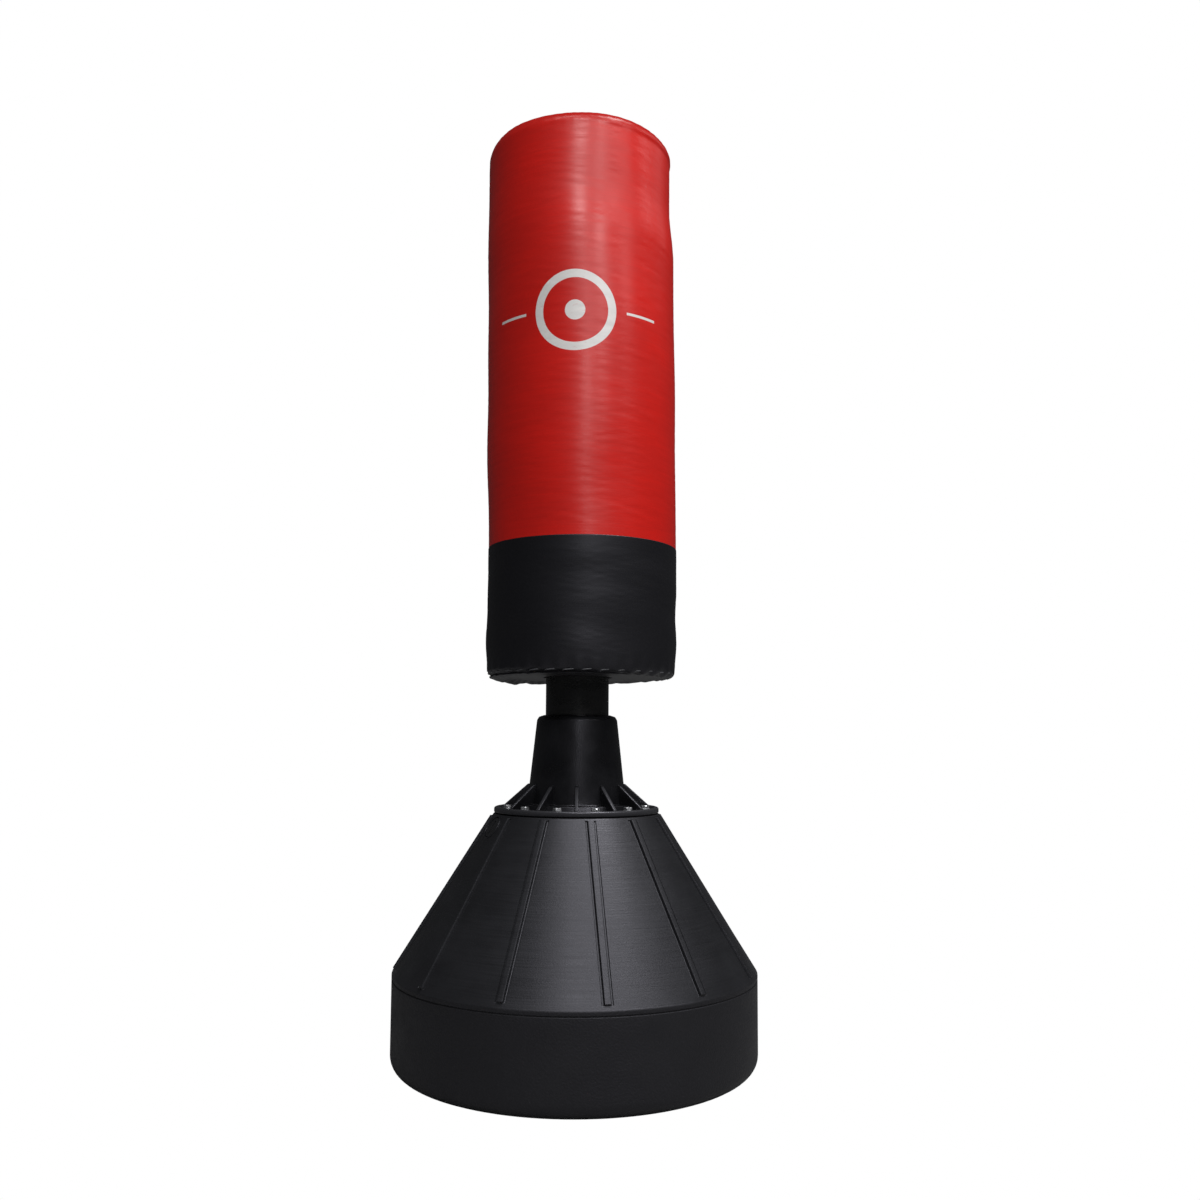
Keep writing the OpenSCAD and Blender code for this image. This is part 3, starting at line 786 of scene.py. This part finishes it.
def tube(name, path, radius):
    """Round cord along a list of points."""
    curve = bpy.data.curves.new(name, "CURVE")
    curve.dimensions = "3D"
    curve.bevel_depth = radius
    curve.bevel_resolution = 2
    curve.use_fill_caps = True
    spline = curve.splines.new("POLY")
    spline.points.add(len(path) - 1)
    for point, p in zip(spline.points, path):
        point.co = (*p, 1)
    line = add_object(name, curve)
    mesh = shown_mesh(line)
    bpy.data.objects.remove(line)
    for f in mesh.polygons:
        f.use_smooth = True
    return add_object(name, mesh)


def make_hem_lacing():
    """Whip stitches of the bottom hem: each lies along the edge and dives in at both ends."""
    span, dive, cord_r = 21 * MM, 3.0 * MM, 1.0 * MM
    along = np.linspace(-1, 1, 13)
    stitches = []
    rng = np.random.default_rng(5)
    for k in range(STITCH_COUNT):
        middle = (k + 0.5) * 2 * math.pi / STITCH_COUNT + rng.uniform(-0.006, 0.006)
        angle = middle + along * span / 2 / BAG_R
        height = BAG_FOOT_Z + HEM_STITCH_Z + rng.uniform(-0.5, 0.5) * MM + 0.9 * MM * along
        out = drawn_in(angle, height) + padding(angle, height) - dive * along**6
        plan = turned(angle) * (BAG_R - 2.6 * MM + out)[:, None]
        path = np.concatenate([plan, height[:, None]], axis=-1)
        stitches.append(tube("stitch", path, cord_r))
    return join("hem_stitches", stitches)


# ---- materials ----


# Tints of the reflections: none, and the faint blue on black plastic and leather
PLAIN = (1, 1, 1, 1)
COOL = (0.90, 0.89, 1.0, 1)


class Shader:
    """Node material with a Principled surface. Places are in the piece's own metres."""

    def __init__(self, name, colour, roughness, metallic=0.0, specular=0.5, tint=PLAIN):
        self.material = bpy.data.materials.new(name)
        self.material.use_nodes = True
        self.nodes = self.material.node_tree.nodes
        self.links = self.material.node_tree.links
        self.surface = self.nodes["Principled BSDF"]
        self.set("Base Color", (*colour, 1))
        self.set("Roughness", roughness)
        self.set("Metallic", metallic)
        self.set("Specular IOR Level", specular)
        self.set("Specular Tint", tint)
        self.material.diffuse_color = (*colour, 1)
        self.place = self.nodes.new("ShaderNodeTexCoord").outputs["Object"]
        self.height = None

    def set(self, socket, value):
        """Gives a socket of the surface one value."""
        self.surface.inputs[socket].default_value = value

    def link(self, output, socket):
        """Feeds a socket of the surface."""
        self.links.new(output, self.surface.inputs[socket])

    def math(self, operation, a, b=0.0):
        """Result of an operation on a and b; each is a number or a socket."""
        node = self.nodes.new("ShaderNodeMath")
        node.operation = operation
        for socket, value in zip(node.inputs, (a, b)):
            if isinstance(value, (int, float)):
                socket.default_value = value
            else:
                self.links.new(value, socket)
        return node.outputs[0]

    def times(self, a, b):
        """a times b."""
        return self.math("MULTIPLY", a, b)

    def hypot(self, a, b):
        """Length of the vector (a, b)."""
        return self.math("SQRT", self.math("ADD", self.times(a, a), self.times(b, b)))

    def axes(self):
        """The place's x, y and z."""
        node = self.nodes.new("ShaderNodeSeparateXYZ")
        self.links.new(self.place, node.inputs[0])
        return node.outputs

    def stretched(self, scale):
        """The place, scaled by one number or by one for each axis."""
        node = self.nodes.new("ShaderNodeMapping")
        node.inputs["Scale"].default_value = scale if isinstance(scale, tuple) else (scale,) * 3
        self.links.new(self.place, node.inputs["Vector"])
        return node.outputs[0]

    def noise(self, scale, detail, roughness=0.55, distortion=0.0):
        """Noise with about that many cells to the metre, the same or not along each axis."""
        node = self.nodes.new("ShaderNodeTexNoise")
        node.inputs["Scale"].default_value = 1.0
        node.inputs["Detail"].default_value = detail
        node.inputs["Roughness"].default_value = roughness
        node.inputs["Distortion"].default_value = distortion
        self.links.new(self.stretched(scale), node.inputs["Vector"])
        return node.outputs["Fac"]

    def cells(self, scale):
        """Distance from the middles of random cells, about that many to the metre."""
        node = self.nodes.new("ShaderNodeTexVoronoi")
        node.inputs["Scale"].default_value = 1.0
        self.links.new(self.stretched(scale), node.inputs["Vector"])
        return node.outputs["Distance"]

    def spread(self, value, low, high, to_low=0.0, to_high=1.0):
        """Smooth step from to_low to to_high while value goes from low to high."""
        node = self.nodes.new("ShaderNodeMapRange")
        node.interpolation_type = "SMOOTHSTEP"
        self.links.new(value, node.inputs["Value"])
        limits = {"From Min": low, "From Max": high, "To Min": to_low, "To Max": to_high}
        for socket, limit in limits.items():
            node.inputs[socket].default_value = limit
        return node.outputs["Result"]

    def mix(self, share, a, b):
        """Colour between a and b; each is a colour or a socket."""
        node = self.nodes.new("ShaderNodeMix")
        node.data_type = "RGBA"
        self.links.new(share, node.inputs["Factor"])
        for socket, value in ((node.inputs[6], a), (node.inputs[7], b)):
            if isinstance(value, tuple):
                socket.default_value = (*value, 1)
            else:
                self.links.new(value, socket)
        return node.outputs[2]

    def relief(self, value, distance, strength=1.0):
        """Adds a layer of bump, in metres of height."""
        node = self.nodes.new("ShaderNodeBump")
        node.inputs["Distance"].default_value = distance
        node.inputs["Strength"].default_value = strength
        self.links.new(value, node.inputs["Height"])
        if self.height is not None:
            self.links.new(self.height, node.inputs["Normal"])
        self.height = node.outputs["Normal"]
        self.link(self.height, "Normal")


def mottled(name, colour, roughness, share=0.25, cells=60, grain=900, depth=0.05, **kw):
    """Plain solid material with slight patches of colour and gloss, and a fine grain."""
    s = Shader(name, colour, roughness, **kw)
    patches = s.noise(cells, detail=4)
    darker = tuple(c * (1 - share) for c in colour)
    lighter = tuple(min(1, c * (1 + share)) for c in colour)
    s.tone = s.mix(s.spread(patches, 0.3, 0.7), darker, lighter)
    s.link(s.tone, "Base Color")
    gloss = s.noise(cells, detail=2)
    s.link(s.spread(gloss, 0.3, 0.7, roughness * 0.88, min(1, roughness * 1.12)), "Roughness")
    s.relief(s.noise(grain, detail=2), depth * MM)
    return s


def leather(name, colour, roughness, **kw):
    """Coated bag leather: shallow grain, level stretch lines, and slightly rubbed patches."""
    s = Shader(name, colour, roughness, **kw)
    lines = s.noise((5, 5, 330), detail=4, roughness=0.6)
    patches = s.noise((7, 7, 9), detail=3)
    tone = s.math("ADD", s.times(lines, 0.35), s.times(patches, 0.65))
    darker = tuple(c * 0.94 for c in colour)
    lighter = tuple(min(1, c * 1.06) for c in colour)
    s.tone = s.mix(s.spread(tone, 0.38, 0.62), darker, lighter)
    s.link(s.tone, "Base Color")
    s.link(s.spread(tone, 0.36, 0.64, roughness + 0.03, roughness - 0.03), "Roughness")
    s.relief(s.cells(640), 0.08 * MM, 0.3)
    s.relief(s.noise((6, 6, 420), detail=4, roughness=0.6), 0.12 * MM, 0.6)
    s.relief(s.noise((4, 4, 70), detail=3), 0.5 * MM, 0.3)
    return s


def print_target(s, ink):
    """Prints a plain round target, with a level rule on each side, on leather s in one ink."""
    x, y, z = s.axes()
    across = s.times(s.math("ARCTAN2", x, s.times(y, -1.0)), BAG_R)
    u = s.math("SUBTRACT", across, TARGET_TURN * BAG_R)
    v = s.math("SUBTRACT", z, TARGET_Z)
    away = s.hypot(u, v)
    soft = 0.5 * MM

    def band(value, middle, width):
        off = s.math("ABSOLUTE", s.math("SUBTRACT", value, middle))
        return s.spread(off, width / 2 + soft, width / 2 - soft)

    ring = band(away, RING_R, RING_W)
    dot = s.spread(away, DOT_R + soft, DOT_R - soft)
    rules = s.times(band(v, 0.0, RULE_W), band(s.math("ABSOLUTE", u), RULE_AWAY, RULE_LENGTH))
    shape = s.math("MAXIMUM", s.math("MAXIMUM", ring, dot), rules)
    worn = s.spread(s.noise((55, 55, 320), detail=5, roughness=0.7), 0.3, 0.42, 0.72, 1.0)
    s.tone = s.mix(s.times(shape, worn), s.tone, ink)
    s.link(s.tone, "Base Color")


def paint_rim_shade(s, colour):
    """Paints shade on leather s round the bag's top edge: a darker colour there, and a lower specular level that
    takes its highlight away.
    """
    x, y, z = s.axes()
    r = s.hypot(x, y)
    inner = BAG_R - TOP_ROUND
    high = s.spread(z, BAG_TOP_Z - 27 * MM, BAG_TOP_Z - 12 * MM)
    # rim: mask of the painted shade band along the top edge
    rim = s.times(high, s.spread(r, inner, inner + 3 * MM))
    # painted shade: the darker colour goes in where the mask is
    s.tone = s.mix(rim, s.tone, colour)
    s.link(s.tone, "Base Color")
    s.link(s.spread(rim, 0, 1, 0.5, 0.08), "Specular IOR Level")


def tank_plastic():
    """Rotomoulded tank: satin cone with level mould lines, and a stippled matt side."""
    s = Shader("tank_plastic", (0.015, 0.0155, 0.017), 0.42, specular=0.54, tint=COOL)
    _, _, z = s.axes()
    on_cone = s.spread(z, SHOULDER_Z - 3 * MM, SHOULDER_Z + 3 * MM)
    on_side = s.math("SUBTRACT", 1.0, on_cone)
    patches = s.noise((14, 14, 22), detail=4)
    lines = s.noise((5, 5, 520), detail=3, roughness=0.7)
    pale = s.spread(patches, 0.3, 0.7)
    cone_tone = s.mix(pale, (0.0105, 0.0107, 0.0120), (0.0150, 0.0154, 0.0172))
    side_tone = s.mix(pale, (0.0045, 0.0046, 0.0052), (0.0066, 0.0067, 0.0075))
    s.link(s.mix(on_cone, side_tone, cone_tone), "Base Color")
    cone_rough = s.spread(lines, 0.3, 0.7, 0.36, 0.46)
    side_rough = s.spread(patches, 0.3, 0.7, 0.56, 0.66)
    rough = s.math("ADD", s.times(on_cone, cone_rough), s.times(on_side, side_rough))
    s.link(rough, "Roughness")
    s.relief(s.times(s.noise(330, detail=4), on_side), 1.1 * MM, 0.8)
    scuffs = s.noise((9, 9, 260), detail=5, roughness=0.75, distortion=0.4)
    s.relief(s.times(scuffs, on_cone), 0.35 * MM, 0.7)
    s.relief(s.times(lines, on_cone), 0.16 * MM, 0.6)
    s.relief(s.noise(400, detail=3), 0.22 * MM, 0.6)
    return s


def collar_plastic():
    """Moulded collar, with painted highlights: a lighter colour on the flange's bead and along the gussets'
    slanting edges.
    """
    s = mottled(
        "collar_plastic",
        (0.0078, 0.0079, 0.0090),
        0.31,
        share=0.2,
        cells=25,
        grain=500,
        depth=0.12,
        tint=COOL,
    )
    x, y, z = s.axes()
    r = s.hypot(x, y)
    # bead: mask of the painted highlight on the flange's bead
    bead = s.times(
        s.spread(r, FLANGE_R - 10 * MM, FLANGE_R - 7 * MM),
        s.spread(z, DECK_Z + 2 * MM, DECK_Z + 7 * MM),
    )
    (foot_r, foot_z), (head_r, head_z) = gusset_edge()
    length = math.hypot(head_r - foot_r, head_z - foot_z)
    out, up = (head_z - foot_z) / length, (foot_r - head_r) / length
    beyond = s.math(
        "ADD",
        s.times(s.math("SUBTRACT", r, foot_r), out),
        s.times(s.math("SUBTRACT", z, foot_z), up),
    )
    on_web = s.times(
        s.spread(r, NECK_FOOT_R + 1 * MM, NECK_FOOT_R + 3 * MM),
        s.spread(r, FLANGE_R - 12 * MM, FLANGE_R - 14 * MM),
    )
    above = s.times(on_web, s.spread(z, FLANGE_TOP_Z + 1 * MM, FLANGE_TOP_Z + 3 * MM))
    # edge: mask of the painted highlight along the gussets' slanting edges
    edge = s.times(s.spread(beyond, -2.4 * MM, -0.8 * MM), above)
    painted_highlight_mask = s.math("MAXIMUM", bead, edge)
    # painted highlight colour, mixed in where either mask is
    s.link(s.mix(painted_highlight_mask, s.tone, (0.034, 0.034, 0.038)), "Base Color")
    return s


def brushed(name, colour, roughness, direction=(30, 30, 700)):
    """Metal with fine lines along or round it."""
    s = Shader(name, colour, roughness, metallic=1.0)
    lines = s.noise(direction, detail=3)
    darker = tuple(c * 0.8 for c in colour)
    s.link(s.mix(s.spread(lines, 0.3, 0.7), darker, colour), "Base Color")
    s.link(s.spread(lines, 0.3, 0.7, roughness * 0.85, roughness * 1.2), "Roughness")
    s.relief(lines, 0.03 * MM)
    return s


def plywood():
    """Board with the darker and lighter streaks of its plies."""
    s = Shader("plywood", (0.46, 0.31, 0.16), 0.7)
    plies = s.noise((12, 90, 900), detail=4)
    tone = s.mix(s.spread(plies, 0.3, 0.7), (0.34, 0.21, 0.10), (0.55, 0.39, 0.22))
    s.link(tone, "Base Color")
    s.relief(plies, 0.15 * MM)
    return s


def red_leather():
    """Leather of the upper covers, with the printed target and painted shade round the rim."""
    s = leather("red_leather", (0.66, 0.0130, 0.0085), 0.33)
    print_target(s, (0.82, 0.80, 0.78))
    # painted shade colour for the band round the top rim
    paint_rim_shade(s, (0.38, 0.011, 0.008))
    return s


def make_materials():
    """The material of each slot."""
    cast_iron = (0.12, 0.12, 0.125)
    black = (0.0070, 0.0070, 0.0084)
    return {
        "tank": tank_plastic(),
        "collar": collar_plastic(),
        "moulded": mottled("moulded_plastic", (0.016, 0.016, 0.018), 0.42, grain=600, depth=0.1),
        "brass": brushed("brass_insert", (0.78, 0.56, 0.24), 0.3),
        "rubber": mottled(
            "smooth_rubber",
            (0.009, 0.009, 0.0095),
            0.28,
            share=0.15,
            cells=(20, 20, 60),
            grain=(90, 90, 500),
        ),
        "zinc": brushed("zinc_plate", (0.88, 0.89, 0.91), 0.42, (300, 300, 60)),
        "plate_steel": brushed("plate_steel", (0.42, 0.43, 0.45), 0.38, (200, 20, 200)),
        "cast": mottled("cast_iron", cast_iron, 0.6, grain=300, depth=0.35, metallic=0.7),
        "spring_steel": brushed("spring_steel", (0.33, 0.34, 0.36), 0.34, 200),
        "post_paint": mottled("powder_coat", (0.045, 0.047, 0.05), 0.42, grain=700, depth=0.15),
        "nylon": mottled("nylon", (0.72, 0.69, 0.60), 0.4, share=0.08),
        "core": mottled("core_tube_plastic", (0.30, 0.31, 0.33), 0.45, share=0.12),
        "board": plywood(),
        "wadding": mottled(
            "felted_wadding",
            (0.52, 0.50, 0.46),
            0.95,
            share=0.35,
            cells=(90, 90, 40),
            grain=240,
            depth=1.2,
        ),
        "foam": mottled("open_foam", (0.74, 0.70, 0.60), 0.95, share=0.12, grain=420, depth=0.8),
        "red_leather": red_leather(),
        "black_leather": leather("black_leather", black, 0.44, specular=0.46, tint=COOL),
        "thread": mottled(
            "waxed_cord", (0.085, 0.086, 0.095), 0.38, grain=(900, 900, 2400), depth=0.3
        ),
    }


# ---- stage ----


def make_stage():
    """Floor that only bounces light, and a white surround that only the camera sees. The floor runs
    on past the surround, so its edge is never in sight."""
    bm = bmesh.new()
    bmesh.ops.create_circle(bm, cap_ends=True, segments=96, radius=FLOOR_R)
    floor = bmesh_object("floor", bm)
    floor.location.z = -0.4 * MM
    paint = Shader("grey_floor", (0.30, 0.30, 0.30), 0.9, specular=0.1)
    floor.data.materials.append(paint.material)
    floor.visible_camera = False

    bm = bmesh.new()
    bmesh.ops.create_uvsphere(bm, u_segments=48, v_segments=24, radius=SURROUND_R)
    dome = bmesh_object("surround", bm)
    glow = Shader("white_surround", (0, 0, 0), 1.0, specular=0.0)
    glow.set("Emission Color", (1, 1, 1, 1))
    glow.set("Emission Strength", 1.0)
    dome.data.materials.append(glow.material)
    for ray in ("diffuse", "glossy", "transmission", "shadow", "volume_scatter"):
        setattr(dome, "visible_" + ray, False)


def light_at(name, azimuth, elevation, size, power):
    """Soft light that looks at the bag from a way off. Azimuth runs from the front to the right."""
    a, e = math.radians(azimuth), math.radians(elevation)
    out = Vector((math.sin(a) * math.cos(e), -math.cos(a) * math.cos(e), math.sin(e)))
    data = bpy.data.lights.new(name, "AREA")
    data.shape = "RECTANGLE"
    data.size, data.size_y = size
    data.energy = power
    lamp = add_object(name, data)
    lamp.location = LIGHT_AIM + LIGHT_AWAY * out
    lamp.rotation_euler = (LIGHT_AIM - lamp.location).to_track_quat("-Z", "Y").to_euler()
    lamp.visible_camera = False


def make_lights():
    """A window in front, brightest at its left end, and softer light from high up, from the right
    and from all round."""
    light_at("window_high", 0, 40, (0.50, 0.96), 40)
    light_at("window_low", 6, 20, (0.49, 0.96), 16)
    light_at("window_middle", 24, 30, (0.60, 0.96), 28)
    light_at("window_side", 42, 40, (0.77, 0.96), 10)
    light_at("window_far", 55, 30, (1.14, 0.96), 11)
    light_at("right", 90, 40, (1.28, 0.96), 8)
    light_at("behind_right", 115, 40, (1.70, 1.76), 5)
    light_at("top_right", 60, 66, (1.6, 1.5), 180)
    light_at("top_left", -20, 66, (1.5, 1.4), 46)
    world = bpy.data.worlds.new("room")
    world.use_nodes = True
    background = world.node_tree.nodes["Background"]
    background.inputs["Color"].default_value = (0.95, 0.97, 1.0, 1)
    background.inputs["Strength"].default_value = 0.040
    bpy.context.scene.world = world


def make_camera():
    """Stands low in front of the stand and looks slightly up, as the object was seen."""
    data = bpy.data.cameras.new("camera")
    data.sensor_width = 36
    data.lens = 33.4
    data.shift_y = 0.0375
    camera = add_object("camera", data)
    camera.location = (0, -1.951, 0.551)
    tilt, pan, roll = math.radians(4.76), math.radians(-1.15), math.radians(0.35)
    aim = Matrix.Rotation(pan, 4, "Z") @ Matrix.Rotation(math.pi / 2 + tilt, 4, "X")
    camera.rotation_euler = (aim @ Matrix.Rotation(roll, 4, "Z")).to_euler()
    bpy.context.scene.camera = camera


# ---- assembly ----


def wear(obj, slot):
    """Gives obj a slot's material, and no other."""
    obj.data.materials.clear()
    obj.data.materials.append(materials[slot].material)


def place(obj, body, slot, *nodes, padding=None):
    """obj rides on a body, wears a slot's material and stands for CAD nodes."""
    wear(obj, slot)
    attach(obj, body)
    if nodes:
        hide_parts(*nodes)


def bend(obj, slot, node):
    """obj wears a slot's material, has its transform baked into its mesh, and stands for a CAD node."""
    wear(obj, slot)
    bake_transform(obj)
    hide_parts(node)


make_camera()
materials = make_materials()
for part in frame["record"]["subparts"]:
    wear(frame["nodes"][part["node"]], part["material_slot"])

place(make_tank(), "base", "tank", "base_tank")
place(make_collar(), "base", "collar", "neck_collar")

lower = make_sleeve("sleeve_lower", sleeve_low.z, SWAY_Z)
bend(lower, "rubber", "spring_sleeve")
upper = make_sleeve("sleeve_upper", SWAY_Z, sleeve_high.z)
bend(upper, "rubber", "spring_sleeve")
lower = make_coil("coil_lower", coil_low.z, SWAY_Z)
bend(lower, "spring_steel", "coil_spring")
upper = make_coil("coil_upper", SWAY_Z, coil_high.z)
bend(upper, "spring_steel", "coil_spring")

place(make_cover_upper(), "bag", "red_leather", "cover_upper", padding=0.95)
place(make_cover_top(), "bag", "red_leather", "cover_top", padding=0.9)
place(make_cover_lower(), "bag", "black_leather", "cover_lower", padding=0.9)
place(make_cover_bottom(), "bag", "black_leather", "cover_bottom", padding=0.6)
place(make_foam_wrap(), "bag", "foam", "foam_wrap", padding=0.95)
place(make_wadding(), "bag", "wadding", "wadding_core", padding=0.9)
place(make_top_pad(), "bag", "foam", "top_pad", padding=0.95)
place(make_hem_lacing(), "bag", "thread", "bottom_lacing")

make_stage()
make_lights()
bpy.context.scene.view_settings.view_transform = "Standard"
